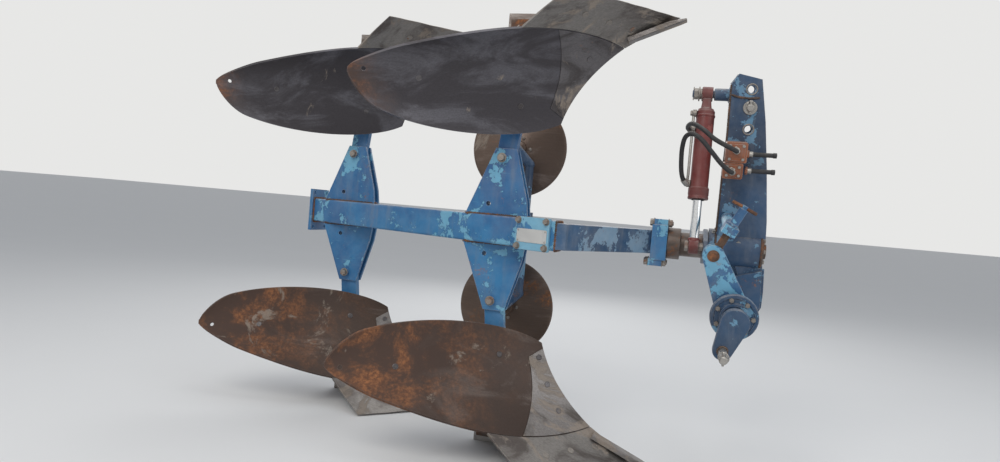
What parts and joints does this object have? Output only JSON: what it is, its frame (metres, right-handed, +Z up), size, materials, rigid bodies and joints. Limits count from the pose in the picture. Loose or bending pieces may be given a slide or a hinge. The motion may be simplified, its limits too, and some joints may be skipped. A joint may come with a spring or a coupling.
{
  "type": "two-furrow reversible mouldboard plough",
  "caption": "Reversible mouldboard plough: leaning headstock with hitch pins and turnover cylinder, cranked beam, paired upper and lower plough bodies, disc coulters.",
  "frame": {"origin": "middle of the near hitch pin, on its axis", "axes": "+X the direction of travel, +Z up, +Y to the left of travel"},
  "size_m": [2.1672, 1.1573, 1.57],
  "materials": {
    "beam_paint": "worn mid blue paint with lighter flaked patches",
    "headstock_paint": "darker weathered blue paint",
    "worn_steel": "worn bare steel",
    "rusty_steel": "brown rust",
    "valve_rust": "rust-orange",
    "hose_rubber": "black rubber",
    "cylinder_maroon": "maroon paint",
    "rod_chrome": "polished chrome",
    "board_steel": "dark weathered steel with rust",
    "share_steel": "ground steel with soil",
    "soil_steel": "rusty steel with soil",
    "disc_rust": "brown rust"
  },
  "bodies": {
    "headstock": {"tower": "headstock_paint", "axle_tube": "headstock_paint", "bearing_flange": "beam_paint", "crank_near": "headstock_paint", "crank_far": "headstock_paint", "hitch_pin_near": "worn_steel", "hitch_pin_far": "worn_steel", "adjusting_lever": "beam_paint", "adjusting_spindle": "rusty_steel", "spindle_trunnion": "beam_paint", "cylinder_stub_axle": "worn_steel", "valve_block": "valve_rust", "top_link_pin": "worn_steel", "short_hose_upper": "hose_rubber", "short_hose_lower": "hose_rubber"},
    "cylinder_barrel": {"cylinder_barrel": "cylinder_maroon", "cylinder_pipe": "worn_steel"},
    "cylinder_rod": {"cylinder_rod": "rod_chrome"},
    "turnover": {"swivel_shaft": "headstock_paint", "crank_web": "headstock_paint", "clamp_flange": "beam_paint", "front_section": "headstock_paint", "main_beam": "beam_paint", "beam_end_plate": "beam_paint", "side_pad": "beam_paint", "coulter_bar": "beam_paint", "coulter_arm_lower": "beam_paint", "coulter_arm_upper": "beam_paint", "leg_front_lower": "beam_paint", "shank_front_lower": "beam_paint", "frog_front_lower": "soil_steel", "mouldboard_front_lower": "board_steel", "share_front_lower": "share_steel", "landside_front_lower": "soil_steel", "leg_front_upper": "beam_paint", "shank_front_upper": "beam_paint", "frog_front_upper": "soil_steel", "mouldboard_front_upper": "board_steel", "share_front_upper": "share_steel", "landside_front_upper": "soil_steel", "leg_rear_lower": "beam_paint", "shank_rear_lower": "beam_paint", "frog_rear_lower": "soil_steel", "mouldboard_rear_lower": "board_steel", "share_rear_lower": "share_steel", "landside_rear_lower": "soil_steel", "leg_rear_upper": "beam_paint", "shank_rear_upper": "beam_paint", "frog_rear_upper": "soil_steel", "mouldboard_rear_upper": "board_steel", "share_rear_upper": "share_steel", "landside_rear_upper": "soil_steel"},
    "disc_lower": {"coulter_disc_lower": "disc_rust"},
    "disc_upper": {"coulter_disc_upper": "disc_rust"}
  },
  "joints": [
    {"name": "turnover", "type": "hinge", "parent": "headstock", "child": "turnover", "pos_m": [-0.10647, 0.40631, 0.33117], "axis": [-1, 0, 0], "range_deg": [0, 160]},
    {"name": "barrel_swing", "type": "hinge", "parent": "headstock", "child": "cylinder_barrel", "pos_m": [-0.11747, 0.30942, 0.8807], "axis": [1, 0, 0], "range_deg": [-0.2, 14.69]},
    {"name": "rod_slide", "type": "slide", "parent": "cylinder_barrel", "child": "cylinder_rod", "axis": [0, -0.0782, -0.9969], "range_m": [-0.13321, 0]},
    {"name": "disc_lower_spin", "type": "hinge", "parent": "turnover", "child": "disc_lower", "pos_m": [-0.84747, 0.53631, 0.00017], "axis": [0, 1, 0], "continuous": true},
    {"name": "disc_upper_spin", "type": "hinge", "parent": "turnover", "child": "disc_upper", "pos_m": [-0.84747, 0.53631, 0.66217], "axis": [0, 1, 0], "continuous": true}
  ],
  "couplings": [
    {"joint": "barrel_swing", "follows": "rod_slide", "rad_per_m": -1.8978}
  ]
}
